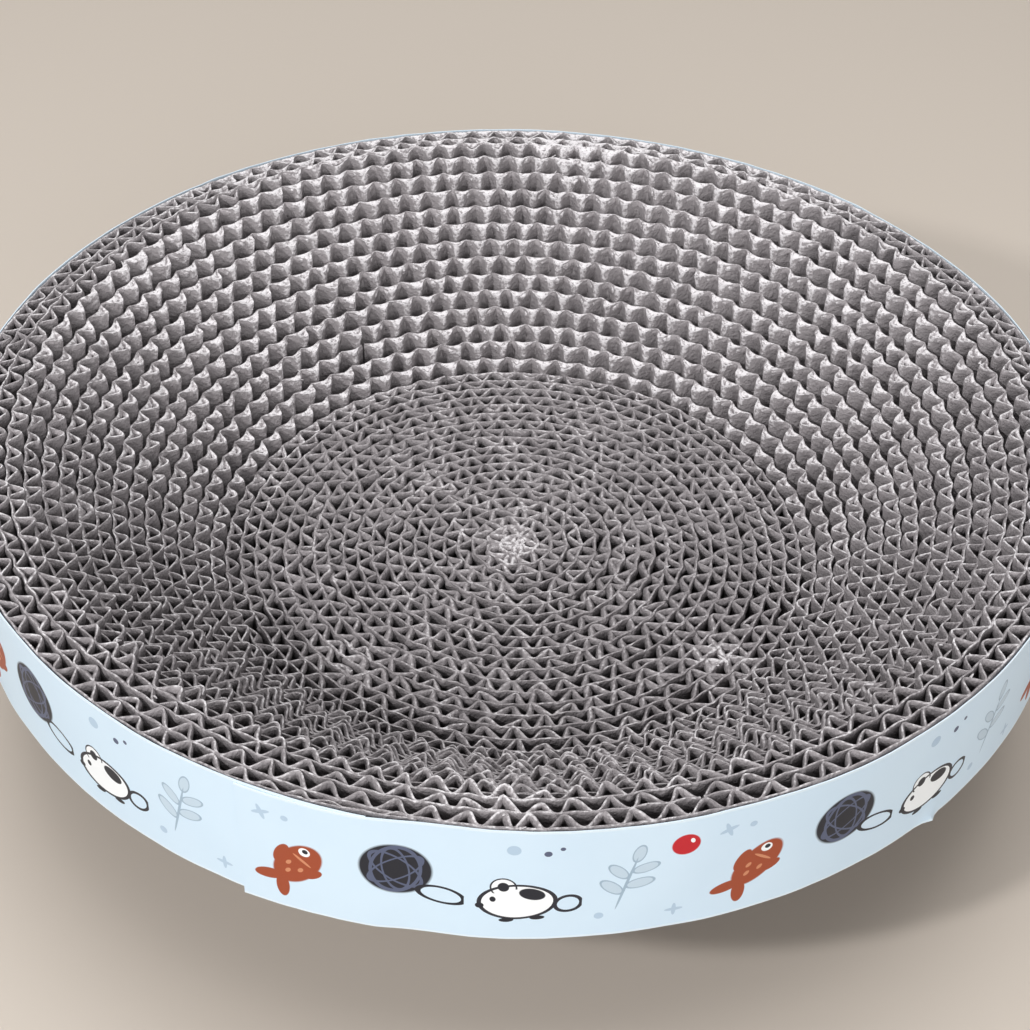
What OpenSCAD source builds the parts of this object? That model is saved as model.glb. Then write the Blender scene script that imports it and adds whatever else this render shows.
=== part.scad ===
// Round cardboard cat scratcher with a bowl-shaped bed.
// Strips of single-face corrugated board are wound into one flat spiral, liner outwards.
// A strip is solid from its liner to its flutes, and the hollows between the flutes are open.
// The middle of the winding is pushed down, so that it stands on the underside of its
// floor and its rim hangs clear of the ground. A printed paper band is glued round the rim.
// Origin: centre of the flat underside. +Z is up, +X is to the right, -Y is the front.

/* [Scratcher] */
// Diameter over the printed band
outer_d = 350; // [310:1:400]
// Width of the board strips and of the band
strip_w = 42.5; // [36:0.5:60]
// Depth of the bowl, from its rim down to its flat floor
bowl_depth = 58; // [35:1:70]
// Diameter of the flat floor
floor_d = 193; // [150:1:210]
// Width of the level ring of turns at the rim
rim_ring = 14; // [11:0.5:28]
// Rounding where the wall meets the floor and the rim, each way along the radius
wall_ease = 2; // [1:0.5:8]

/* [Board] */
// Thickness of the board, liner and flutes together
board_t = 4.25; // [3.6:0.05:5.4]
// Length of one flute
flute_len = 8.8; // [7:0.1:10]
// Thickness of the board between two flutes, where a hollow ends at the liner
hollow_t = 0.8; // [0.6:0.1:1.5]
// Glue line between one turn and the next
glue_line = 0.55; // [0.5:0.05:0.8]
// Gap between the end of one strip and the start of the next
butt_gap = 1; // [0.5:0.1:2]
// Radius of the hole left in the tightly rolled start
eye_r = 0.7; // [0.6:0.1:3]
// Length of rim along which the last turn but one steps out past the tail
tail_step = 88; // [60:1:150]

/* [Band] */
// Thickness of the printed paper
paper_t = 0.6; // [0.4:0.1:1.2]
// Clearance between the winding and the band
band_gap = 0.3; // [0.1:0.05:0.6]
// Length of band that laps over its own start
lap_len = 36; // [10:1:60]
// How far the lapped end sits below the rest of the band
lap_drop = 2; // [0.5:0.5:5]
// Bearing of the board's tail and of the lap, in degrees from +X
tail_bearing = -118; // [-180:1:180]

/* [Hidden] */
// Strips in the winding, all of one length
strip_count = 10;
// Sections in each turn
steps = 24;
// Turns at the start whose flutes are rolled flat
flat_turns = 4;
// Faces round the band
band_fn = 120;

board_colour = "#b7aca1";
band_colour = "#e6edf4";

pitch = board_t + glue_line;
band_r = outer_d / 2;
wind_r = band_r - paper_t - band_gap;
foot_r = floor_d / 2;
lip_r = wind_r - rim_ring;

// Turns are counted from the axis, so a turn's radius is the pitch times its count
turns = wind_r / pitch;
first_turn = (eye_r + board_t) / pitch;
step_share = tail_step / (2 * PI * wind_r);

// Part of a turn from the tail back to turn t, from 0 to 1
function back(t) = (turns - t) - floor(turns - t);

// The outside is round: each turn is stretched a little with its distance behind the tail,
// and eases back over the step beyond the tail
function stretch(t) =
    let (b = back(t), long = 1 - step_share, most = turns / (turns - long))
    b < long ? turns / (turns - b) : 1 + (most - 1) * (1 - b) / step_share;

// Radius of the liner's outer face, and its bearing
function face_r(t) = pitch * t * stretch(t);
function bearing(t) = tail_bearing - 360 * (turns - t);

// Height of the strip's lower edge: level, then up the wall, then level again
function soft_ramp(x) =
    x <= -wall_ease ? 0 : x >= wall_ease ? x : pow(x + wall_ease, 2) / (4 * wall_ease);
function lift(t) =
    bowl_depth / (lip_r - foot_r) * (soft_ramp(pitch * t - foot_r) - soft_ramp(pitch * t - lip_r));

// Turn at which strip i begins, on a whole section, with every strip as long as the others
function turn_at(i) = sqrt(pow(first_turn, 2) + (pow(turns, 2) - pow(first_turn, 2)) * i / strip_count);
function cut(i) = turns - round((turns - turn_at(i)) * steps) / steps;
function strip_end(i) =
    i == strip_count - 1 ? turns : cut(i + 1) - butt_gap / (2 * PI * pitch * cut(i + 1));
function sections(i) =
    concat([for (k = [0 : round((cut(i + 1) - cut(i)) * steps) - 1]) cut(i) + k / steps], [strip_end(i)]);

// Plan position on turn t, a distance in from the liner's outer face
function plan(t, inset) = (face_r(t) - inset) * [cos(bearing(t)), sin(bearing(t))];
function at_height(p, z) = [p.x, p.y, z];
function section(t) = [
    at_height(plan(t, board_t), lift(t)),
    at_height(plan(t, 0), lift(t)),
    at_height(plan(t, 0), lift(t) + strip_w)
];

// The same position on the straight chord between two sections
function on_chord(t, inset) =
    let (a = turns - ceil((turns - t) * steps) / steps, share = (t - a) * steps)
    plan(a, inset) * (1 - share) + plan(a + 1 / steps, inset) * share;

// Upper inner edge of strip i: straight in the flat turns, then to and fro with the flutes.
// The hollows run out at the strip's lower edge.
function first_flute(at) = max(at[0], turns - round((turns - flat_turns) * steps) / steps);
function flute_edges(at) =
    let (a = first_flute(at), b = at[len(at) - 1], n = round(PI * pitch * (b * b - a * a) / flute_len))
    concat(
        [for (t = at) if (t < a) [t, board_t]],
        [for (k = [0 : 2 * n]) [k == 2 * n ? b : sqrt(a * a + (b * b - a * a) * k / (2 * n)), k % 2 == 0 ? hollow_t : board_t]]
    );

// Triangles between two edges that run side by side, numbered from a and from b, with their turns
function gone_by(edge, t, tie) = len([for (k = [0 : len(edge) - 2])
    let (mid = (edge[k] + edge[k + 1]) / 2) if (mid < t || (tie && mid == t)) k]);
function lace(edge_a, a, step_a, edge_b, b, step_b) = concat(
    [for (j = [0 : len(edge_a) - 2])
        let (k = gone_by(edge_b, (edge_a[j] + edge_a[j + 1]) / 2, false))
        [a + step_a * j, a + step_a * (j + 1), b + step_b * k]],
    [for (k = [0 : len(edge_b) - 2])
        let (j = gone_by(edge_a, (edge_b[k] + edge_b[k + 1]) / 2, true))
        [a + step_a * j, b + step_b * (k + 1), b + step_b * k]]
);

// Faces of a strip: lower inner, lower outer and upper outer edge in threes, then the upper inner edge
function strip_faces(at, flutes) =
    let (n = len(at), m = len(flutes), top = 3 * n, last = 3 * (n - 1))
    concat(
        [[0, 1, 2], [0, 2, top]],
        [for (j = [0 : n - 2], e = [0, 1], half = [0, 1])
            let (a = 3 * j + e, b = a + 1)
            half == 0 ? [a, a + 3, b + 3] : [a, b + 3, b]],
        lace(at, 2, 3, flutes, top, 1),
        lace(flutes, top, 1, at, 0, 3),
        [[last, last + 2, last + 1], [last, top + m - 1, last + 2]]
    );

// Least gap between a turn and the next one out, on the sections' corners and the middles of their chords
function middle(t, inset) = (plan(t, inset) + plan(t + 1 / steps, inset)) / 2;
function turn_gaps(t) = [
    for (k = [-2 : 2])
        let (next = t + 1 + k / steps)
        if (next + 1 / steps <= turns)
            min(norm(plan(next, board_t) - plan(t, 0)), norm(middle(next, board_t) - middle(t, 0)))
];
echo(least_gap_between_turns = min([for (k = [steps : round((turns - first_turn) * steps)])
    each turn_gaps(turns - k / steps)]));
echo(board_length = PI * pitch * (pow(turns, 2) - pow(first_turn, 2)));

module board_strip(i) {
    at = sections(i);
    edges = flute_edges(at);
    color(board_colour)
        polyhedron(
            points = concat(
                [for (t = at) each section(t)],
                [for (e = edges) at_height(on_chord(e[0], e[1]), lift(e[0]) + strip_w)]
            ),
            faces = strip_faces(at, [for (e = edges) e[0]])
        );
}

module hoop(r, h) {
    difference() {
        cylinder(r = r, h = h, $fn = band_fn);
        translate([0, 0, -paper_t]) cylinder(r = r - paper_t, h = h + 2 * paper_t, $fn = band_fn);
    }
}

// The lapped end reaches half way into the band's own thickness, so that the two are one piece
module lap() {
    rotate(tail_bearing)
        rotate_extrude(angle = lap_len / band_r * 180 / PI, $fn = band_fn)
            translate([band_r - paper_t / 2, -lap_drop]) square([paper_t * 3 / 2, strip_w]);
}

module printed_band() {
    color(band_colour)
        translate([0, 0, bowl_depth]) {
            hoop(band_r, strip_w);
            lap();
        }
}

for (i = [0 : strip_count - 1])
    board_strip(i);
printed_band();
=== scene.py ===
# Cat scratcher: single-face board wound into a bowl, with a printed paper band round its rim
import math
import random

import bmesh
import bpy
from mathutils import Matrix, Vector, noise


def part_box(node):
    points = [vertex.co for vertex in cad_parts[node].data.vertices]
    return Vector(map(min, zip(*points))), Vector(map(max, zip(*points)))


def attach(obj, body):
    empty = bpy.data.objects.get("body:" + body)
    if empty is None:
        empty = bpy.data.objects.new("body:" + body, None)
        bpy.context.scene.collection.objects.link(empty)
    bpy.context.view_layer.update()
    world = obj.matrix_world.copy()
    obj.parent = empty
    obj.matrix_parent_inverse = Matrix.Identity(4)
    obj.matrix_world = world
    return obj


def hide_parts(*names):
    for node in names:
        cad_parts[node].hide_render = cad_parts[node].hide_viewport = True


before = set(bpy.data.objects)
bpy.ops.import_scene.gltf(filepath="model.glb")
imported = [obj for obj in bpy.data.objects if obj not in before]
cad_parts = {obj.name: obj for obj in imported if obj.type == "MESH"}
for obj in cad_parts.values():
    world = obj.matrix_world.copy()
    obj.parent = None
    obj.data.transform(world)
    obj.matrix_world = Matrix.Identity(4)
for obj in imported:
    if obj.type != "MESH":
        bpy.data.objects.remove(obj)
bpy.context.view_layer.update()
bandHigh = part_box("printed_band")[1]
coilLow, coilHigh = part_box("board_strip_1")
print("frame loaded:", len(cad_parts), "CAD nodes")
noise.seed_set(1)  # noise_vector would draw its offsets from the clock


def clamped(value):
    return min(max(value, 0.0), 1.0)


def noiseAt(x, y, z):  # smooth noise; the fixed coordinates in the calls only keep its uses apart
    return noise.noise(Vector((x, y, z)))


def linearColour(hexCode):  # sRGB hex to the linear values that shaders take
    channels = [int(hexCode[i:i + 2], 16) / 255 for i in (1, 3, 5)]
    return [c / 12.92 if c <= 0.04045 else ((c + 0.055) / 1.055) ** 2.4 for c in channels] + [1.0]


def addNode(tree, kind, sockets=None, **settings):  # one node, with its settings, values and links
    node = tree.nodes.new(kind)
    for name, value in settings.items():
        setattr(node, name, value)
    for key, value in (sockets or {}).items():
        if isinstance(value, bpy.types.NodeSocket):
            tree.links.new(value, node.inputs[key])
        else:
            node.inputs[key].default_value = value
    return node


def newMaterial(name):  # an empty material and its Principled shader
    material = bpy.data.materials.new(name)
    material.use_nodes = True
    tree = material.node_tree
    tree.nodes.clear()
    shader = addNode(tree, "ShaderNodeBsdfPrincipled")
    addNode(tree, "ShaderNodeOutputMaterial", {"Surface": shader.outputs["BSDF"]})
    return material, tree, shader


def closeRibbon(bm, seam):  # joins a bent grid's long edges, so that it is a tube, and caps its ends
    bmesh.ops.remove_doubles(bm, verts=seam, dist=1e-7)
    bmesh.ops.holes_fill(bm, edges=[e for e in bm.edges if e.is_boundary], sides=0)
    bmesh.ops.recalc_face_normals(bm, faces=bm.faces)


def finishPiece(bm, name, material, sharp=None):  # smooth-shaded where an angle for sharp edges is given
    mesh = bpy.data.meshes.new(name)
    bm.to_mesh(mesh)
    bm.free()
    if sharp:
        mesh.shade_smooth()
        mesh.set_sharp_from_angle(angle=math.radians(sharp))
    mesh.materials.append(material)
    piece = bpy.data.objects.new(name, mesh)
    bpy.context.scene.collection.objects.link(piece)
    return piece


# The winding. Turns are counted from the axis, so a turn's radius is the pitch times its count.
winding = {
    "strips": 10,
    "sections": 24,  # CAD sections in each turn
    "pitch": 0.0048,  # one turn to the next
    "board": 0.00425,  # board thickness in the CAD solids
    "eye": 0.0007,  # hole in the tightly rolled start
    "rolledTurn": 0.35,  # turn at which the paper of that start begins
    "tailBearing": math.radians(-118),
    "tailStep": 0.088,  # rim length over which the board steps out past its tail
    "tailDrawn": 0.0018,  # how far the tail would be drawn in by the end of that length
    "bandPaper": 0.0006,
    "bandGap": 0.0003,
    "footRadius": 0.0965,  # edge of the flat floor
    "rimRing": 0.014,
    "wallEase": 0.002,
}
winding["width"] = coilHigh.z - coilLow.z
winding["depth"] = bandHigh.z - coilHigh.z
winding["radius"] = bandHigh.x - winding["bandPaper"] - winding["bandGap"]
winding["turns"] = winding["radius"] / winding["pitch"]
winding["firstTurn"] = (winding["eye"] + winding["board"]) / winding["pitch"]
winding["stepShare"] = winding["tailStep"] / (2 * math.pi * winding["radius"])
winding["lipRadius"] = winding["radius"] - winding["rimRing"]


def faceRadius(turn):  # radius of the liner's outer face; the last turn runs round a true circle
    turns, share = winding["turns"], winding["stepShare"]
    if turn >= turns:  # the tail, drawn in a little by the band
        return winding["radius"] - winding["tailDrawn"] * ((turn - turns) / share) ** 2
    back = (turns - turn) - math.floor(turns - turn)
    most = turns / (turns - 1 + share)
    stretch = turns / (turns - back) if back < 1 - share else 1 + (most - 1) * (1 - back) / share
    return winding["pitch"] * turn * stretch


def softRamp(x):
    ease = winding["wallEase"]
    return 0 if x <= -ease else x if x >= ease else (x + ease) ** 2 / (4 * ease)


def lift(turn):  # height of the board's lower edge
    r = winding["pitch"] * turn
    slope = winding["depth"] / (winding["lipRadius"] - winding["footRadius"])
    return slope * (softRamp(r - winding["footRadius"]) - softRamp(r - winding["lipRadius"]))


def planPoint(turn, inset):  # a point in plan, a distance in from the liner's outer face
    bearing = winding["tailBearing"] - 2 * math.pi * (winding["turns"] - turn)
    r = faceRadius(turn) - inset
    return Vector((r * math.cos(bearing), r * math.sin(bearing)))


def turnAtLength(length):  # the board's length grows with the square of its turns
    return math.sqrt(length / (math.pi * winding["pitch"]))


def lengthAtTurn(turn):
    return math.pi * winding["pitch"] * turn ** 2


def stripStart(i):  # every strip is as long as the others and starts on a CAD section
    first, last = winding["firstTurn"] ** 2, winding["turns"] ** 2
    turn = math.sqrt(first + (last - first) * i / winding["strips"])
    return winding["turns"] - round((winding["turns"] - turn) * winding["sections"]) / winding["sections"]


# Where the winding is trodden and clawed, and where light and shade are painted on it. Distances run along
# its radius where nothing else is said.
zones = {
    "wallOverFloor": 0.002,  # how far the wall's look reaches over the floor's edge, and over the rim's
    "wallOverRim": 0.004,
    "wallFade": 0.004,
    "floorOverWall": 0.010,  # how far the floor's look reaches up the wall
    "floorFade": 0.026,
    "rimOverWall": 0.004,
    "clawedLitFront": 0.04,  # how far in front of the axis the clawed rear of the wall begins, which is also painted paler, a painted light
    "clawedLitFade": 0.12,
    "rimRear": 0.1,  # how far behind the axis the clawed rear of the rim begins, which is also painted paler, a painted light
    "rimFade": 0.05,
    "rimClawedLit": 0.75,  # how clawed, and how much paler painted, that is at most
    "front": 0.12,  # how far in front of the axis the front has its full look
    "sides": 0.07,  # how far to either side of the axis the sides have theirs
    "middle": 0.012,  # radius of the paler middle
    "wornMiddle": 0.75,  # wear in the middle, and how much of it is gone at the floor's edge
    "wornFall": 0.35,
    "wornWall": 0.12,
    "wornPatch": 0.028,  # size of the patches that the wear comes in
    "wornPatchy": 1.2,
}

# Clawed and pressed spots: place on the winding, radius, strength
frayedSpots = [
    (0.0185, 0.1605, 0.010, 1.0), (0.0080, 0.1625, 0.007, 0.8), (0.0300, 0.1575, 0.006, 0.6),
    (-0.1364, 0.0759, 0.007, 0.7), (-0.1220, 0.0945, 0.006, 0.5), (0.0759, 0.0307, 0.006, 0.5),
    (0.0660, -0.0515, 0.009, 0.7), (0.0, -0.001, 0.008, 0.6), (-0.0540, -0.0582, 0.008, 0.4),
    (-0.0020, -0.1630, 0.016, 0.4), (0.0430, 0.1618, 0.006, 0.4), (-0.1361, -0.0349, 0.006, 0.4),
    (0.1004, 0.1203, 0.007, 0.4), (0.1166, 0.0377, 0.006, 0.3), (-0.0304, 0.0316, 0.007, 0.3),
]


def frayAt(spot):
    return max(strength * math.exp(-((spot.x - x) ** 2 + (spot.y - y) ** 2) / radius ** 2)
               for x, y, radius, strength in frayedSpots)


def wearAt(spot):  # the floor is more trodden than the wall, and unevenly so
    r = spot.length
    worn = zones["wornWall"]
    if r < winding["footRadius"]:
        worn = zones["wornMiddle"] - zones["wornFall"] * r / winding["footRadius"]
    slow = noiseAt(spot.x / zones["wornPatch"], spot.y / zones["wornPatch"], 4.0)
    return clamped(max(worn * (1.0 + zones["wornPatchy"] * slow), frayAt(spot)))


def wallShare(turn):  # 1 on the sloping wall, 0 on the floor and the rim
    r = winding["pitch"] * turn
    fromFloor = r - winding["footRadius"] + zones["wallOverFloor"]
    fromRim = winding["lipRadius"] - r + zones["wallOverRim"]
    return clamped(min(fromFloor, fromRim) / zones["wallFade"])


def floorShare(turn):  # 1 in the middle, easing to 0 low on the wall
    left = winding["footRadius"] + zones["floorOverWall"] - winding["pitch"] * turn
    return clamped(left / zones["floorFade"])


def rimShare(turn):
    return 1.0 if winding["pitch"] * turn > winding["lipRadius"] - zones["rimOverWall"] else 0.0


def sideShare(plan):  # 1 at the left and the right of the floor, where its cut edges are painted less pale and its cells darker
    return min(abs(plan.x) / zones["sides"], 1.0)


def clawedAndLitShare(turn, plan):  # the rear of the wall and of the rim is clawed, and painted paler than the front, a painted light
    wall = wallShare(turn) * clamped((plan.y + zones["clawedLitFront"]) / zones["clawedLitFade"])
    if winding["pitch"] * turn <= winding["lipRadius"]:
        return wall
    return max(wall, min(clamped((plan.y - zones["rimRear"]) / zones["rimFade"]), zones["rimClawedLit"]))


# How pale the cut edges are, how darkly shade is painted down in the cells, and how light the paper's tone is
# painted: lighter at the rear, darker at the front and on the floor
shades = {
    "depth": 0.01,  # how far down the paler tips and mouths fade out
    "tipHighlight": 2.0,  # painted highlight: how much paler the flutes' tips on the wall are painted
    "tipHighlightFront": 0.4,  # share of that on the front of the wall
    "mouth": 2.0,  # how pale the fuzz that nearly fills the closed cells is painted at its rear, a painted light
    "feet": 0.6,  # painted shade: how much less pale the liner's cut edge is painted at the flutes' feet, where the medium meets it
    "proud": 0.3,  # how pale the liner is that stands proud
    "frontFloorShade": 0.25,  # painted shade: how much less pale the cut edges are painted on the floor and the front of the wall
    "rimFront": 0.5,  # how much of that is missing on the rim
    "floorMiddle": 0.8,  # share of that in the middle of the floor, and what its sides have more
    "floorSides": 0.6,
    "middle": 0.5,  # how much paler the very middle is
    "patch": 0.008,  # size of the patches that the paleness comes in
    "patchy": 0.5,
    "cellShade": 0.5,  # how much darker the painted shade in the floor's cells is, and what its sides have more
    "cellShadeSides": 1.2,
    # painted light makes the rear's tone lighter, painted shade the floor's darker; the last shifts all the
    # paper's tone
    "litRearTone": 1.4,
    "shadedFloorTone": -0.6,
    "tone": -0.4,
    "cloud": 0.05,  # length of the liner's slow changes of tone
}


def sawnShadedShare(turn, plan):  # how pale the cut edges are: painted less pale, a painted shade, on the floor and on the front
    middle = max(1.0 - winding["pitch"] * turn / zones["middle"], 0.0)
    front = clamped(-plan.y / zones["front"]) * (1.0 - shades["rimFront"] * rimShare(turn))
    floor = floorShare(turn) * (shades["floorMiddle"] + shades["floorSides"] * sideShare(plan))
    slow = noiseAt(plan.x / shades["patch"], plan.y / shades["patch"], 6.0)
    pale = 1.0 - shades["frontFloorShade"] * max(floor, front) + shades["middle"] * middle
    return pale * (1.0 + shades["patchy"] * slow)


def cellShadeShare(turn, plan):  # how darkly the shade down in the cells is painted: more on the floor, most at its sides
    return 1.0 + floorShare(turn) * (shades["cellShade"] + shades["cellShadeSides"] * sideShare(plan))


def toneShift(turn, clawedAndLit):  # painted light makes the clawed rear's paper lightest, and painted shade the floor's darkest
    return shades["litRearTone"] * clawedAndLit + shades["shadedFloorTone"] * floorShare(turn) + shades["tone"]


# The cut edges: how far they stray, and the saw's fuzz, which thickens them
cuts = {
    "curl": 0.0004,  # how far they wander from the paper below them
    "curlLength": 0.0035,
    "curlFresh": 0.7,  # share of it where nothing is worn, and what wear adds
    "curlWorn": 1.6,
    "curlLiner": 0.6,
    "slid": 0.0005,  # how far the turns slid past each other
    "slidOften": 0.9,  # changes of that in each turn
    "ragged": 0.00028,  # how uneven the saw left them
    "raggedLong": 0.02,  # lengths of the slow and of the fine unevenness
    "raggedShort": 0.0022,
    "raggedFine": 0.7,
    "raggedFresh": 0.8,
    "raggedWorn": 1.5,
    "burr": 0.0005,  # thickness of the fuzz, each side
    "burrLength": 0.0018,
    "burrUneven": 0.7,
    "burrWorn": 0.25,
    "burrLeast": 0.3,
    "burrOutside": 0.3,  # share of it outside the cells on the rear of the wall
    "burrFloor": 0.35,  # what the floor and the front of the wall have more
    "burrFront": 0.15,
    "crushed": 1.05,  # how much thicker it is in the corners of the trodden cells
    "crushedFront": 0.3,  # share of that on the front of the wall
    "corner": 0.18,  # share of a flute's length from the middle of a cell to its corners
}


def edgeWander(length, seed, wear):  # smooth wander of a cut edge
    wander = noise.noise_vector(Vector((length / cuts["curlLength"], seed, 0.0)))
    return Vector((wander.x, wander.y)) * cuts["curl"] * (cuts["curlFresh"] + cuts["curlWorn"] * wear)


def cutHeight(length, seed, wear):  # how far the cut edge stands above or below its place
    slid = noiseAt(turnAtLength(length) * cuts["slidOften"], 3.0, 7.0) * cuts["slid"]
    slow = noiseAt(length / cuts["raggedLong"], seed, 7.0)
    fast = noiseAt(length / cuts["raggedShort"], seed, 9.0)
    uneven = cuts["ragged"] * (slow + cuts["raggedFine"] * fast)
    return slid + uneven * (cuts["raggedFresh"] + cuts["raggedWorn"] * wear)


def burrAt(length, seed, wear):  # uneven fuzz along a cut edge
    uneven = cuts["burrUneven"] * noiseAt(length / cuts["burrLength"], seed, 5.0)
    return cuts["burr"] * max(1.0 + uneven + cuts["burrWorn"] * wear, cuts["burrLeast"])


def burrShare(turn, plan):  # the fuzz outside the cells; the floor has most, the rear of the wall least
    floor = floorShare(turn)
    front = cuts["burrFront"] * (1.0 - floor) * (1.0 - clawedAndLitShare(turn, plan))
    return cuts["burrOutside"] + cuts["burrFloor"] * floor + front


def crushedShare(turn, plan):  # how far the corners of the cells are filled
    return max(floorShare(turn), cuts["crushedFront"] * (1.0 - clawedAndLitShare(turn, plan)))


def cornerShare(far):  # how near a corner of its cell the paper is, from its distance to the cell's middle
    return min(abs(far) / cuts["corner"], 1.0) ** 2


# Rows down one side of a paper: end of the strip, distance from it, share of the burr, of the curl,
# and how pale the paper is in the cells between liner and medium, and outside them. Paleness below zero is
# painted shade down in the cells.
cutRows = [
    ("top", 0.0, 0.15, 1.0, 1.4, 1.4),
    ("top", 0.0003, 0.4, 0.97, 0.7, 0.65),
    ("top", 0.001, 1.0, 0.85, 0.15, 0.0),
    ("top", 0.002, 0.95, 0.6, 0.0, 0.0),
    ("top", 0.0036, 0.4, 0.25, -0.3, 0.0),
    ("top", 0.0065, 0.0, 0.0, -1.0, -0.25),
    ("foot", 0.0008, 0.0, 0.3, 0.0, 0.0),
    ("foot", 0.0, 0.5, 0.6, 1.0, 1.0),
]


def paperRows(thickness, cellSide):  # the paper's two sides, from foot to foot
    sides = []
    for side in (1, -1):
        inCell = side == cellSide
        sides.append([(side, inCell, end, far, thickness / 2, share, follow, paleIn if inCell else paleOut)
                      for end, far, share, follow, paleIn, paleOut in cutRows])
    return sides[0][::-1] + sides[1]


def makeRibbon(name, steps, rows, material):  # paper on edge: steps along it, rows round its section
    bm = bmesh.new()
    paleEdgeAndShade = bm.verts.layers.float.new("paleEdgeAndShade")
    tone = bm.verts.layers.float.new("tone")
    count = len(steps) - 1
    bmesh.ops.create_grid(bm, x_segments=count, y_segments=len(rows), size=0.5)
    seam = [v for v in bm.verts if abs(v.co.y) > 0.4999]
    for v in bm.verts:
        step = steps[round((v.co.x + 0.5) * count)]
        row = rows[round((v.co.y + 0.5) * len(rows)) % len(rows)]
        side, inCell, end, far, half, share, follow, pale = row
        burr, paler = step["inCell"] if inCell else step["outside"]
        flat = step["plan"] + step["normal"] * (side * (half + share * burr)) + step["curl"] * follow
        v.co = (flat.x, flat.y, step["top"] - far if end == "top" else step["foot"] + far)
        fade = 1.0 - (far / shades["depth"]) ** 2 if end == "top" else 0.0
        # paleness below zero paints shade down in the cells; the paler tips and mouths hold painted light at
        # the rear
        v[paleEdgeAndShade] = pale * step["sawn" if pale > 0 else "cellShade"] + fade * (paler + step["fray"])
        v[tone] = step["tone"]
    closeRibbon(bm, seam)
    return finishPiece(bm, name, material, board["sharp"])


def addNormals(points):  # the normal in plan, outwards, at each point of a path
    normals = []
    for i in range(len(points)):
        along = points[min(i + 1, len(points) - 1)] - points[max(i - 1, 0)]
        along.normalize()
        normals.append(Vector((along.y, -along.x)))
    return normals


# Single-face corrugated board: a flat liner outside, a fluted medium inside, both of recycled paper
board = {
    "flute": 0.0088,  # length of one flute
    "liner": 0.00028,  # paper thicknesses
    "medium": 0.00026,
    "stepsPerFlute": 12,
    "linerStepsPerFlute": 6,
    "washboard": 0.0013,  # how far the liner is drawn in between the feet of a flute
    "washboardPower": 1.4,
    "heldOut": 0.3,  # share of that on the last turn, which the band holds out
    "butt": 0.001,  # gap between two strips
    "tail": 0.062,  # length of the last strip past the place where the solid ends
    "pressed": 0.7,  # how much of the fuzz is pressed flat there, behind the band
    "pressedFrom": 0.015,  # turns past that place where it begins, and turns that it takes
    "pressedFade": 0.03,
    "proudTurn": 34.0,  # the liner that stands proud where the rim ends
    "proudTurns": 0.42,  # turns to either side over which it comes down again
    "proud": 0.0007,
    "proudBurr": 0.5,  # how much less fuzz it has
    "sharp": 50,  # degrees; sharper edges aren't smoothed
}

# How one flute differs from another
quirks = {
    "seed": 40,
    "place": 0.002,  # how far in from the liner's face a flute's wear is read
    "drift": 0.004,  # how far the flutes creep along the liner, slowly
    "driftLength": 0.33,
    "jitter": 0.0004,  # how far a flute's foot strays from its neighbours
    "loose": 1.3,  # how much wear adds to the lean, the height and the bend
    "reach": (0.97, 1.03),  # share of the way to the next liner that a tip reaches
    "crest": 0.25,  # how much one flute's tip may be narrower or wider than its foot
    "lean": 0.0005,  # how far a flute's tip leans
    "bend": 0.00035,  # how far the top of a flute is pushed over
    "shade": 0.35,  # how much lighter or darker its paper is
    "washboard": (0.7, 1.3),  # share of the liner's washboard
    "drawnFront": 0.4,  # share of it where nothing is clawed, and what the clawed rear has more
    "drawnClawed": 1.0,
    "closed": 0.07,  # share of the flutes whose mouths the fuzz has nearly closed, and what wear adds
    "closedWorn": 0.22,
    "mouths": ((1.1, 1.6), (1.9, 2.6), (2.5, 3.5)),  # fuzz in the mouths that are open, closed and clawed
    "mouth": 0.82,  # share of the first two that is left on the wall, and what the floor has less
    "mouthFloor": 0.17,
    "mouthFrayed": 1.6,
}


def makeFlutes(i, start, end):  # the feet of a strip's flutes along its length, and each flute's own quirks
    rng = random.Random(quirks["seed"] + i)
    count = round((end - start) / board["flute"])
    feet = [start]
    for k in range(1, count):
        s = start + (end - start) * k / count
        creep = quirks["drift"] * noiseAt(s / quirks["driftLength"], 8.0, 1.0)
        feet.append(s + creep + rng.gauss(0, quirks["jitter"]))
    feet.append(end)
    openMouth, closedMouth, clawedMouth = quirks["mouths"]
    flutes = []
    for k in range(count):
        turn = turnAtLength((feet[k] + feet[k + 1]) / 2)
        middle = planPoint(turn, quirks["place"])
        wear, clawedAndLit = wearAt(middle), clawedAndLitShare(turn, middle)
        loose = 1.0 + quirks["loose"] * wear
        isOpen = rng.random() > quirks["closed"] + quirks["closedWorn"] * wear
        mouth = rng.uniform(*(openMouth if isOpen else closedMouth))
        mouth *= quirks["mouth"] - quirks["mouthFloor"] * floorShare(turn)
        mouth += (rng.uniform(*clawedMouth) - mouth) * clawedAndLit
        flutes.append({
            "from": feet[k], "to": feet[k + 1], "wear": wear,
            "reach": rng.uniform(*quirks["reach"]),
            "crest": 1.0 + rng.uniform(-quirks["crest"], quirks["crest"]),
            "lean": rng.gauss(0, quirks["lean"]) * loose,
            "height": rng.gauss(0, cuts["ragged"]) * loose,
            "bend": Vector((rng.gauss(0, 1), rng.gauss(0, 1))) * quirks["bend"] * loose,
            "mouth": mouth + quirks["mouthFrayed"] * frayAt(middle),
            "washboard": (board["washboard"] * rng.uniform(*quirks["washboard"])
                          * (quirks["drawnFront"] + quirks["drawnClawed"] * clawedAndLit)),
            "crushed": cuts["crushed"] * crushedShare(turn, middle),
            "shade": rng.gauss(0, quirks["shade"]),
        })
    return flutes


def tailTaper(turn):  # the last flutes are pressed flat behind the band, fuzz and all
    past = turn - winding["turns"] - board["pressedFrom"]
    return 1.0 - board["pressed"] * clamped(past / board["pressedFade"])


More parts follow.
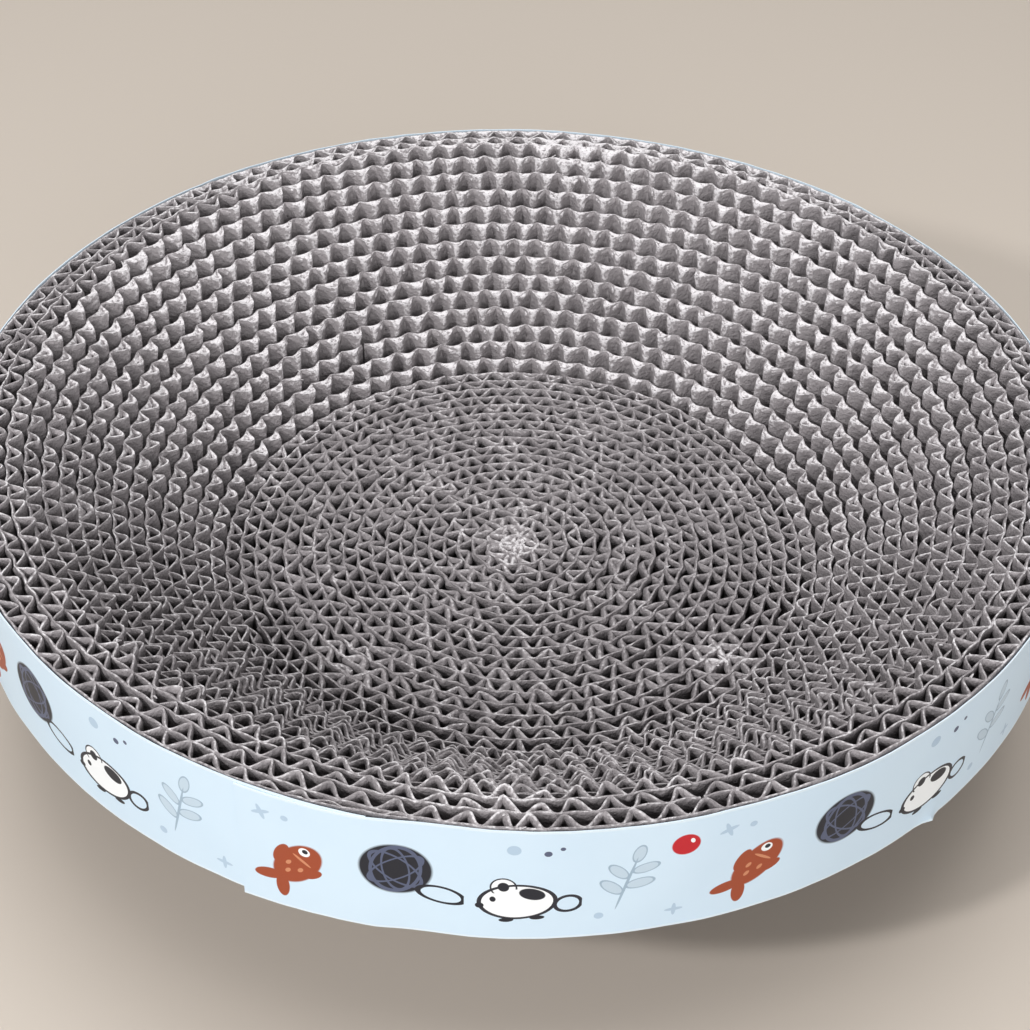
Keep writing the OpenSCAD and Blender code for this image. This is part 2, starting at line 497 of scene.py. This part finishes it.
def alongFlutes(flutes, per):  # every step along the flutes: the flute and how far it is through it
    for k, flute in enumerate(flutes):
        for n in range(per + (k == len(flutes) - 1)):
            yield flute, n / per, flute["from"] + (flute["to"] - flute["from"]) * n / per


def makeLiner(i, flutes, material):
    walk = []
    for flute, through, s in alongFlutes(flutes, board["linerStepsPerFlute"]):
        drawn = flute["washboard"] * math.sin(math.pi * through) ** board["washboardPower"]
        if turnAtLength(s) > winding["turns"] - 1:
            drawn *= board["heldOut"]
        walk.append((planPoint(turnAtLength(s), board["liner"] / 2 + drawn), s, flute, through))
    steps = []
    for (plan, s, flute, through), normal in zip(walk, addNormals([w[0] for w in walk])):
        turn = turnAtLength(s)
        proud = max(0.0, 1.0 - abs(turn - board["proudTurn"]) / board["proudTurns"]) * board["proud"]
        clawedAndLit, fray = clawedAndLitShare(turn, plan), frayAt(plan)
        mouth = 1.0 + (flute["mouth"] - 1.0) * math.sin(math.pi * through)
        burr = burrAt(s, 31.0, flute["wear"])
        burr *= 1.0 - board["proudBurr"] * proud / board["proud"]
        burr *= tailTaper(turn)
        corner = flute["crushed"] * cornerShare(through - 0.5)
        # painted shade on the liner's cut edge at the flutes' feet, where the medium meets it, on the rear of
        # the wall
        feet = shades["feet"] * clawedAndLit * (1.0 - rimShare(turn))
        steps.append({
            "plan": plan, "normal": normal, "foot": lift(turn),
            "top": lift(turn) + winding["width"] + cutHeight(s, 2.0, flute["wear"]) + proud,
            "curl": edgeWander(s, 11.0, flute["wear"]) * cuts["curlLiner"],
            # the fuzz in the cells' mouths is painted paler at the rear of the wall, a painted light
            "inCell": (burr * (mouth + corner), shades["mouth"] * clawedAndLit * math.sin(math.pi * through) ** 2),
            "outside": (burr * (burrShare(turn, plan) + fray), shades["proud"] * proud / board["proud"]),
            "tone": noiseAt(s / shades["cloud"], 1.0, 3.0) + toneShift(turn, clawedAndLit),
            "sawn": sawnShadedShare(turn, plan) * (1.0 - feet * math.cos(math.pi * through) ** 2),
            "cellShade": cellShadeShare(turn, plan),
            "fray": fray,
        })
    return makeRibbon(f"board_strip_{i + 1}_liner", steps, paperRows(board["liner"], -1), material), steps


def makeMedium(i, flutes, material):
    start, end = flutes[0]["from"], flutes[-1]["to"]
    walk = []
    for flute, through, s in alongFlutes(flutes, board["stepsPerFlute"]):
        wave = ((1 - math.cos(2 * math.pi * through)) / 2) ** flute["crest"]
        s = min(max(s + flute["lean"] * wave ** 2, start), end)
        turn = turnAtLength(s)
        room = faceRadius(turn) - faceRadius(max(turn - 1, 0)) - board["liner"] - board["medium"]
        inset = board["liner"] + board["medium"] / 2 + max(room, 0.0) * wave * flute["reach"]
        walk.append((planPoint(turn, inset), s, flute, through, wave))
    steps = []
    for (plan, s, flute, through, wave), normal in zip(walk, addNormals([w[0] for w in walk])):
        turn = turnAtLength(s)
        clawedAndLit, fray = clawedAndLitShare(turn, plan), frayAt(plan)
        # painted highlight: the flutes' tips on the wall are painted paler, most at the rear
        pale = max(clawedAndLit, shades["tipHighlightFront"] * wallShare(turn)) * (1.0 - floorShare(turn))
        pale *= shades["tipHighlight"]
        mouth = 1.0 + (flute["mouth"] - 1.0) * math.sin(math.pi * through)
        burr = burrAt(s, 41.0, flute["wear"]) * tailTaper(turn)
        corner = flute["crushed"] * cornerShare(through - 0.5)
        outerCorner = flute["crushed"] * cornerShare(min(through, 1.0 - through))
        steps.append({
            "plan": plan, "normal": normal, "foot": lift(turn),
            "top": lift(turn) + winding["width"] + cutHeight(s, 5.0, flute["wear"]) + flute["height"] * wave,
            "curl": edgeWander(s, 23.0, flute["wear"]) + flute["bend"] * wave,
            # the fuzz in the cells' mouths is painted paler at the rear of the wall, a painted light
            "inCell": (burr * (mouth + corner), shades["mouth"] * clawedAndLit * wave),
            "outside": (burr * (burrShare(turn, plan) + outerCorner + fray), pale * wave ** 3),
            "tone": flute["shade"] + toneShift(turn, clawedAndLit),
            "sawn": sawnShadedShare(turn, plan),
            "cellShade": cellShadeShare(turn, plan),
            "fray": fray,
        })
    return makeRibbon(f"board_strip_{i + 1}_medium", steps, paperRows(board["medium"], 1), material), steps


# Recycled paper board, uncoated and sawn: matte and grey-brown, with pale torn fibres on the cut edges,
# painted shade down in its cells, and painted light and shade in its tone
kraft = {
    "dark": "#6e696b",  # the flat paper, from its darkest to its lightest
    "light": "#aca6a8",
    "deepShade": "#332e30",  # painted shade down in the cells
    "cut": "#a6a0a2",
    "torn": "#efebed",
    "fibre": 0.0005,  # fibre clumps; drawn a little coarser than real, so that they show
    "fleck": 0.0013,  # torn flecks on the cut edges
    "cloud": 0.02,  # slow variation of the pulp
    "toned": 0.35,  # how much the tone counts: a piece of paper's own tone, with painted light at the rear and painted shade on the floor
    "spread": (0.6, 1.4),  # what the tone and the noises add up to in the darkest and the lightest paper
    "patchy": (0.35, 0.7, 0.45, 1.6),  # fleck noise from and to, and how pale it makes the cut edge
    "tornShows": (1.0, 2.2),  # paleness at which the torn fibres begin to show, and show alone
    "roughness": 0.9,
    "bump": 0.00015,
    "bumpStrength": 0.9,
    "coarse": 7.0,  # how much higher the flecks stand than the fibres
}


def makeKraft():
    material, tree, shader = newMaterial("recycledPaperBoard")
    place = addNode(tree, "ShaderNodeTexCoord").outputs["Object"]
    noises = []
    for size, detail in (("fibre", 3.0), ("fleck", 2.0), ("cloud", 2.0)):
        texture = addNode(tree, "ShaderNodeTexNoise",
                          {"Vector": place, "Scale": 1 / kraft[size], "Detail": detail})
        noises.append(texture.outputs["Fac"])
    fibreNoise, fleckNoise, cloudNoise = noises
    tone = addNode(tree, "ShaderNodeAttribute", attribute_name="tone").outputs["Fac"]
    paleEdgeAndShade = addNode(tree, "ShaderNodeAttribute", attribute_name="paleEdgeAndShade").outputs["Fac"]
    mixed = addNode(tree, "ShaderNodeMath", {0: fibreNoise, 1: cloudNoise}, operation="ADD")
    toned = addNode(tree, "ShaderNodeMath", {0: tone, 1: kraft["toned"], 2: mixed.outputs[0]},
                    operation="MULTIPLY_ADD")
    darkest, lightest = kraft["spread"]
    spread = addNode(tree, "ShaderNodeMapRange", {0: toned.outputs[0], 1: darkest, 2: lightest})
    colour = addNode(tree, "ShaderNodeMix", {0: spread.outputs[0], 6: linearColour(kraft["dark"]),
                                             7: linearColour(kraft["light"])}, data_type="RGBA").outputs[2]
    patchy = addNode(tree, "ShaderNodeMapRange", {0: fleckNoise, **dict(enumerate(kraft["patchy"], 1))})
    flecked = addNode(tree, "ShaderNodeMath", {0: paleEdgeAndShade, 1: patchy.outputs[0]}, operation="MULTIPLY")
    pale = flecked.outputs[0]
    for name, driver, nothing, full in (
            ("deepShade", paleEdgeAndShade, 0.0, -1.0), ("cut", pale, 0.0, 1.0), ("torn", pale, *kraft["tornShows"])):
        share = addNode(tree, "ShaderNodeMapRange", {0: driver, 1: nothing, 2: full}).outputs[0]
        colour = addNode(tree, "ShaderNodeMix", {0: share, 6: colour, 7: linearColour(kraft[name])},
                         data_type="RGBA").outputs[2]
    relief = addNode(tree, "ShaderNodeMath", {0: fleckNoise, 1: kraft["coarse"], 2: fibreNoise},
                     operation="MULTIPLY_ADD")
    bump = addNode(tree, "ShaderNodeBump", {"Height": relief.outputs[0], "Distance": kraft["bump"],
                                            "Strength": kraft["bumpStrength"]})
    tree.links.new(colour, shader.inputs["Base Color"])
    tree.links.new(bump.outputs["Normal"], shader.inputs["Normal"])
    shader.inputs["Roughness"].default_value = kraft["roughness"]
    return material


def makeWinding():
    material = makeKraft()
    faces = 0
    edges = []
    for i in range(winding["strips"]):
        start = lengthAtTurn(stripStart(i) if i else winding["rolledTurn"])
        last = i == winding["strips"] - 1
        end = (lengthAtTurn(winding["turns"]) + board["tail"] if last
               else lengthAtTurn(stripStart(i + 1)) - board["butt"])
        flutes = makeFlutes(i, start, end)
        for piece, steps in (makeLiner(i, flutes, material), makeMedium(i, flutes, material)):
            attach(piece, "root")
            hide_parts(f"board_strip_{i + 1}")
            faces += len(piece.data.polygons)
            edges += steps
    print("winding made:", faces, "faces")
    makeFibres(edges, material)


# Slivers that claws and the saw tore loose, lying on the cut edges
fibres = {
    "seed": 7,
    "everywhere": 0.006,  # share of the edge's steps that hold a sliver, and what a frayed spot adds
    "frayed": 0.45,
    "long": (0.0006, 0.0016),
    "wide": (0.0004, 0.0010),
    "thick": 0.00014,
    "root": 0.5,  # radii of the two ends, before it is drawn out to its length, width and thickness
    "tip": 0.18,
    "sides": 5,
    "heading": 0.7,  # spread of its heading about the edge's own
    "roll": 0.5,
    "slope": (-0.1, 0.3),
    "arch": 0.5,
    "sunk": 0.0001,
    "torn": 1.6,  # how pale it is
}


def makeFibres(edges, material):
    rng = random.Random(fibres["seed"])
    bm = bmesh.new()
    paleEdgeAndShade = bm.verts.layers.float.new("paleEdgeAndShade")
    tone = bm.verts.layers.float.new("tone")
    count = 0
    for edge in edges:
        plan, normal, top, fray = edge["plan"], edge["normal"], edge["top"], edge["fray"]
        if rng.random() > fibres["everywhere"] + fibres["frayed"] * fray ** 2:
            continue
        made = bmesh.ops.create_cone(bm, cap_ends=True, segments=fibres["sides"], radius1=fibres["root"],
                                     radius2=fibres["tip"], depth=1.0)["verts"]
        long, wide = rng.uniform(*fibres["long"]) * (1 + fray), rng.uniform(*fibres["wide"]) * (1 + fray)
        heading = math.atan2(normal.x, -normal.y) + rng.choice((0, math.pi)) + rng.gauss(0, fibres["heading"])
        slope = rng.uniform(*fibres["slope"])
        turned = Matrix.Rotation(heading, 4, "Z") @ Matrix.Rotation(-slope, 4, "Y")
        turned = turned @ Matrix.Rotation(rng.gauss(0, fibres["roll"]), 4, "X")
        for v in made:
            along = v.co.z + 0.5
            arch = along ** 2 * long * slope * fibres["arch"]
            v.co = Vector((along * long, v.co.y * wide, v.co.x * fibres["thick"] + arch))
            v[paleEdgeAndShade] = fibres["torn"] + fray
            v[tone] = 1.0
        place = Matrix.Translation((plan.x, plan.y, top - fibres["sunk"]))
        bmesh.ops.transform(bm, verts=made, matrix=place @ turned)
        count += 1
    bmesh.ops.recalc_face_normals(bm, faces=bm.faces)
    piece = finishPiece(bm, "board_fibres", material)
    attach(piece, "root")
    print("fibres made:", count)


# The printed band: one strip of coated paper round the rim, whose lapped end sits a little low
band = {
    "paper": 0.00035,
    "start": math.radians(-113.6),  # bearing of the lapped end
    "lap": 0.036,
    "lapOver": 1.1,  # how far out the lapped end lies, in thicknesses of the paper
    "lapEase": 0.01,  # length over which it comes down to the winding past the lap
    "drop": 0.002,
    "dropLevel": 0.7,  # how much of the drop is missing at its upper edge
    "settle": 0.12,  # length over which the lapped end comes back level
    "step": 0.0025,  # length along the strip between two columns of vertices
    "rows": (0.0, 0.015, 0.06, 0.14, 0.3, 0.5, 0.7, 0.88, 0.985, 1.0),  # heights of its rows
    "waver": 0.00025,  # how far the paper strays in and out
    "waverLength": 0.018,
    "waverRise": 2.0,  # changes of that from its lower to its upper edge
    "slack": 0.0006,  # slow rise and fall of its edges
    "slackLength": 0.04,
    "ragged": 0.0002,
    "raggedLength": 0.007,
    # spots: place along the strip, length, how far it has moved
    "slip": (0.18, 0.05, 0.0008),  # the upper edge has slipped down
    "peel": (0.2, 0.0022, 0.002),  # the lower edge has come unglued and stands out
    "peelHeight": 0.14,  # share of the band's width that has come off there
    "peelUp": 0.6,  # how far it is bent up, against how far out
    "drawn": (0.052, 0.014, 0.0009),  # it is drawn in past the board's tail
    "sharp": 40,
}


def makeBand():
    radius = bandHigh.x - band["paper"] / 2
    around = 2 * math.pi * radius
    length = around + band["lap"]
    rows = [(1, h) for h in band["rows"]] + [(-1, h) for h in reversed(band["rows"])]
    slipAt, slipLength, slipDepth = band["slip"]
    peelAt, peelLength, peelOut = band["peel"]
    drawnAt, drawnLength, drawnIn = band["drawn"]
    bm = bmesh.new()
    bmesh.ops.create_grid(bm, x_segments=round(length / band["step"]), y_segments=len(rows), size=0.5)
    uvLayer = bm.loops.layers.uv.new("print")
    seam = [v for v in bm.verts if abs(v.co.y) > 0.4999]
    spots = {}
    for v in bm.verts:
        s = (v.co.x + 0.5) * length
        side, h = rows[round((v.co.y + 0.5) * len(rows)) % len(rows)]
        over = 1.0 - clamped((s - band["lap"]) / band["lapEase"])
        away = min(s / band["settle"], 1.0)
        slipped = slipDepth * math.exp(-((s - slipAt) / slipLength) ** 2) * h
        peeled = math.exp(-((s - peelAt) / peelLength) ** 2) * max(1.0 - h / band["peelHeight"], 0.0) ** 2
        r = radius + band["paper"] * band["lapOver"] * over + side * band["paper"] / 2 + peelOut * peeled
        r += band["waver"] * noiseAt(s / band["waverLength"], h * band["waverRise"], 2.0)
        r -= drawnIn * math.exp(-((s - drawnAt) / drawnLength) ** 2)
        low = winding["depth"] - band["drop"] * (1 - away) ** 2 * (1 - band["dropLevel"] * h) - slipped
        low += band["peelUp"] * peelOut * peeled
        slack = band["slack"] * noiseAt(s / band["slackLength"], 1.0, h)
        low += slack + band["ragged"] * noiseAt(s / band["raggedLength"], 3.0, h)
        bearing = band["start"] + s / radius
        v.co = (r * math.cos(bearing), r * math.sin(bearing), low + h * winding["width"])
        spots[v] = (s, h * winding["width"])
    for face in bm.faces:
        for loop in face.loops:
            loop[uvLayer].uv = spots[loop.vert]
    closeRibbon(bm, seam)
    piece = finishPiece(bm, "printed_band_paper", makeBandPaper(around), band["sharp"])
    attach(piece, "root")
    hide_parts("printed_band")
    print("band made:", len(piece.data.polygons), "faces")


# Coated paper, offset printed: smooth, faintly glossy, cool white, with cut edges a little whiter.
# Lengths on the print are in millimetres.
printing = {
    "millimetres": 1000.0,  # in a metre
    "paper": "#d7ebfa",
    "shade": "#cfe5f7",
    "edge": "#e1f0fb",
    "edgeFade": (0.9, 0.4),  # from the band's edges, where the whiter edge begins and is full
    "repeats": 36,  # motifs round the band
    "enlarged": 1.15,  # all motifs against the sizes below
    "inkFade": (1.04, 0.96),  # distances from an ellipse's centre where its ink begins and is full
    "cloud": 0.03,  # in metres
    "roughness": 0.45,
    "gloss": 0.3,  # specular level
    "inks": {
        "rust": "#a04a2c", "rustPale": "#cf8a66", "charcoal": "#22242d", "slate": "#59617a",
        "white": "#f6fafd", "outline": "#2b2c35", "leaf": "#c3d6e5", "leafLine": "#9fb6c9",
        "sky": "#b4cce1", "red": "#c3202c",
    },
}

# Motifs in turn along the band. Layers of ellipses: ink, line width as a share of the ellipse
# (0 fills it), then place, half width, half height and turn in degrees of each.
leaves = [(2.9, 4.4, 3.1, 1.4, 35), (-2.9, 2.2, 3.1, 1.4, 145), (3.0, -0.8, 3.3, 1.5, 30),
          (-3.0, -3.2, 3.3, 1.5, 150), (0, 8.8, 1.4, 2.8, 0)]
motifs = [
    {"every": 4, "at": 0, "x": 1.5, "height": 18.5, "turn": 52, "layers": [  # fish
        ("rust", 0, [(0, 0, 8.0, 4.7, 0), (-9.2, 2.1, 3.9, 1.7, -38), (-9.2, -2.1, 3.9, 1.7, 38),
                     (-0.6, 4.4, 3.6, 1.7, 14), (0.4, -4.3, 2.6, 1.3, -20)]),
        ("rustPale", 0, [(-1.4, 1.6, 0.9, 0.55, 0), (-3.8, 0.1, 0.9, 0.55, 0), (-1.0, -1.7, 0.9, 0.55, 0),
                         (2.0, 0.0, 0.4, 2.7, 0)]),
        ("white", 0, [(4.8, 1.3, 1.4, 1.4, 0)]),
        ("charcoal", 0, [(5.1, 1.3, 0.7, 0.7, 0)])]},
    {"every": 4, "at": 1, "x": -2.5, "height": 24.0, "turn": 0, "layers": [  # ball of yarn
        ("charcoal", 0, [(0, 0, 8.3, 8.1, 0)]),
        ("slate", 0.07, [(0, 0, 7.2, 3.0, 35), (0, 0, 7.2, 3.4, -42), (0, 0, 3.0, 7.0, 8),
                         (0, 0, 7.4, 5.6, 80)]),
        ("charcoal", 0.13, [(10.2, -7.4, 5.4, 2.5, -14)])]},
    {"every": 4, "at": 2, "x": -1.5, "height": 15.0, "turn": 6, "layers": [  # toy mouse
        ("outline", 0.16, [(11.3, -2.0, 3.0, 2.6, 15)]),
        ("white", 0, [(0, 0, 8.6, 5.6, 0), (-2.6, 5.0, 2.9, 3.0, 0)]),
        ("outline", 0.07, [(-2.6, 5.0, 2.9, 3.0, 0)]),
        ("white", 0, [(0, -0.6, 8.0, 4.9, 0)]),
        ("outline", 0.06, [(0, 0, 8.6, 5.6, 0)]),
        ("charcoal", 0, [(-2.6, 5.2, 1.3, 1.5, 0), (-5.4, 1.2, 0.7, 0.9, 0), (-8.6, -0.8, 1.0, 0.9, 0),
                         (3.6, 2.4, 3.0, 1.9, -20), (-3.0, -6.0, 1.7, 0.7, 0), (4.0, -5.8, 1.7, 0.7, 0)])]},
    {"every": 4, "at": 3, "x": -3.5, "height": 22.0, "turn": -14, "layers": [  # leafy sprig
        ("leaf", 0, leaves), ("leafLine", 0.1, leaves), ("leafLine", 0, [(0, -1.5, 0.35, 9.0, 0)])]},
    {"every": 4, "at": 0, "x": -8.0, "height": 35.0, "turn": 20, "layers": [  # sparkle and dots
        ("sky", 0, [(0, 0, 2.4, 0.6, 0), (0, 0, 0.6, 2.4, 0), (5.5, -2.0, 0.9, 0.9, 0)])]},
    {"every": 4, "at": 2, "x": 6.0, "height": 34.0, "turn": 0, "layers": [  # dots
        ("slate", 0, [(0, 0, 0.9, 0.9, 0), (3.2, 1.6, 0.6, 0.6, 0)]),
        ("sky", 0, [(-7.5, 1.0, 1.6, 1.6, 0)])]},
    {"every": 4, "at": 3, "x": 9.5, "height": 7.0, "turn": 0, "layers": [  # sparkle and a dot
        ("sky", 0, [(0, 0, 2.2, 0.55, 0), (0, 0, 0.55, 2.2, 0), (-17.5, 1.0, 1.1, 1.1, 0)])]},
    {"every": 9, "at": 3, "x": 11.0, "height": 33.0, "turn": -12, "layers": [  # small ball
        ("red", 0, [(0, 0, 3.3, 3.3, 0)]),
        ("white", 0, [(1.2, 1.3, 0.5, 0.8, 30)])]},
]


def makeBandPaper(around):
    material, tree, shader = newMaterial("coatedPrintPaper")
    scale = printing["millimetres"]
    pitch = scale * around / printing["repeats"]
    spot = addNode(tree, "ShaderNodeUVMap", uv_map="print").outputs["UV"]
    strip = addNode(tree, "ShaderNodeSeparateXYZ", {0: spot})
    repeats = addNode(tree, "ShaderNodeMath", {0: strip.outputs["X"], 1: scale / pitch}, operation="MULTIPLY")
    cell = addNode(tree, "ShaderNodeMath", {0: repeats.outputs[0]}, operation="FLOOR").outputs[0]
    within = addNode(tree, "ShaderNodeMath", {0: repeats.outputs[0]}, operation="FRACT").outputs[0]
    across = addNode(tree, "ShaderNodeMath", {0: within, 1: pitch, 2: -pitch / 2}, operation="MULTIPLY_ADD")
    upwards = addNode(tree, "ShaderNodeMath", {0: strip.outputs["Y"], 1: scale}, operation="MULTIPLY")
    height = upwards.outputs[0]
    place = addNode(tree, "ShaderNodeCombineXYZ", {0: across.outputs[0], 1: height}).outputs[0]

    body = addNode(tree, "ShaderNodeTexCoord")
    clouds = addNode(tree, "ShaderNodeTexNoise", {"Vector": body.outputs["Object"],
                                                  "Scale": 1 / printing["cloud"], "Detail": 3.0})
    colour = addNode(tree, "ShaderNodeMix", {0: clouds.outputs["Fac"], 6: linearColour(printing["paper"]),
                                             7: linearColour(printing["shade"])}, data_type="RGBA").outputs[2]
    inkStart, inkFull = printing["inkFade"]
    for motif in motifs:
        order = addNode(tree, "ShaderNodeMath", {0: cell, 1: float(motif["every"])}, operation="MODULO")
        shown = addNode(tree, "ShaderNodeMath", {0: order.outputs[0], 1: float(motif["at"]), 2: 0.5},
                        operation="COMPARE")
        local = addNode(tree, "ShaderNodeMapping",
                        {"Vector": place, "Location": (motif["x"], motif["height"], 0),
                         "Rotation": (0, 0, math.radians(motif["turn"])),
                         "Scale": (printing["enlarged"], printing["enlarged"], 1)},
                        vector_type="TEXTURE").outputs[0]
        for ink, line, ellipses in motif["layers"]:
            drawn = None
            for x, y, halfWidth, halfHeight, turn in ellipses:
                unit = addNode(tree, "ShaderNodeMapping",
                               {"Vector": local, "Location": (x, y, 0), "Scale": (halfWidth, halfHeight, 1),
                                "Rotation": (0, 0, math.radians(turn))}, vector_type="TEXTURE")
                fromCentre = addNode(tree, "ShaderNodeVectorMath", {0: unit.outputs[0]}, operation="LENGTH")
                far = fromCentre.outputs["Value"]
                if line:
                    mark = addNode(tree, "ShaderNodeMath", {0: far, 1: 1.0, 2: line}, operation="COMPARE")
                else:
                    mark = addNode(tree, "ShaderNodeMapRange", {0: far, 1: inkStart, 2: inkFull})
                if drawn:
                    mark = addNode(tree, "ShaderNodeMath", {0: drawn.outputs[0], 1: mark.outputs[0]},
                                   operation="MAXIMUM")
                drawn = mark
            inked = addNode(tree, "ShaderNodeMath", {0: drawn.outputs[0], 1: shown.outputs[0]},
                            operation="MULTIPLY")
            colour = addNode(tree, "ShaderNodeMix",
                             {0: inked.outputs[0], 6: colour, 7: linearColour(printing["inks"][ink])},
                             data_type="RGBA").outputs[2]

    fromTop = addNode(tree, "ShaderNodeMath", {0: scale * winding["width"], 1: height}, operation="SUBTRACT")
    fromEdge = addNode(tree, "ShaderNodeMath", {0: height, 1: fromTop.outputs[0]}, operation="MINIMUM")
    edgeStart, edgeFull = printing["edgeFade"]
    edge = addNode(tree, "ShaderNodeMapRange", {0: fromEdge.outputs[0], 1: edgeStart, 2: edgeFull})
    finish = addNode(tree, "ShaderNodeMix",
                     {0: edge.outputs[0], 6: colour, 7: linearColour(printing["edge"])}, data_type="RGBA")
    tree.links.new(finish.outputs[2], shader.inputs["Base Color"])
    shader.inputs["Roughness"].default_value = printing["roughness"]
    shader.inputs["Specular IOR Level"].default_value = printing["gloss"]
    return material


# Stage, light and camera, matched to the photo's view
studio = {
    "floor": "#d2c7bb",
    "floorHalf": 6.0,
    "floorRoughness": 0.8,
    # lamps: place, size, power
    "keyLight": ((-1.071, -0.898, 1.053), 0.12, 11.5),
    "rearLight": ((0.0, 0.55, 1.5), 1.2, 5.6),
    "topLight": ((0.0, 0.0, 1.6), 1.2, 10.5),
    "frontLight": ((0.35, -1.75, 0.65), 1.2, 16.0),
    "world": "#ffffff",
    "worldStrength": 0.2,
    "lens": 67.67,
    "sensor": 36.0,
    "elevation": 0.7069,
    "distance": 0.63775,
    "aim": (-0.00047, -0.00411),  # point on the plane of the band's lower edge that the camera looks at
    "roll": 0.0274,
}


def makeStudio():
    bm = bmesh.new()
    bmesh.ops.create_grid(bm, x_segments=1, y_segments=1, size=studio["floorHalf"])
    material, tree, shader = newMaterial("palePlaster")
    shader.inputs["Base Color"].default_value = linearColour(studio["floor"])
    shader.inputs["Roughness"].default_value = studio["floorRoughness"]
    floor = finishPiece(bm, "studioFloor", material)

    for name in ("keyLight", "rearLight", "topLight", "frontLight"):
        place, size, power = studio[name]
        light = bpy.data.lights.new(name, "AREA")
        light.size = size
        light.energy = power
        lamp = bpy.data.objects.new(name, light)
        lamp.location = place
        towards = Vector((0, 0, winding["depth"])) - lamp.location
        lamp.rotation_euler = towards.to_track_quat("-Z", "Y").to_euler()
        bpy.context.scene.collection.objects.link(lamp)

    world = bpy.data.worlds.new("studioWorld")
    world.use_nodes = True
    background = world.node_tree.nodes["Background"]
    background.inputs["Color"].default_value = linearColour(studio["world"])
    background.inputs["Strength"].default_value = studio["worldStrength"]
    bpy.context.scene.world = world
    bpy.context.scene.view_settings.view_transform = "Standard"


def makeCamera():
    camera = bpy.data.cameras.new("photoCamera")
    camera.lens = studio["lens"]
    camera.sensor_width = studio["sensor"]
    eye = bpy.data.objects.new("photoCamera", camera)
    back = Vector((0, -math.cos(studio["elevation"]), math.sin(studio["elevation"])))
    aim = Vector((*studio["aim"], winding["depth"]))
    turn = back.to_track_quat("Z", "Y").to_matrix() @ Matrix.Rotation(studio["roll"], 3, "Z")
    eye.matrix_world = Matrix.Translation(aim + back * studio["distance"]) @ turn.to_4x4()
    bpy.context.scene.collection.objects.link(eye)
    bpy.context.scene.camera = eye


makeCamera()
makeStudio()
makeWinding()
makeBand()
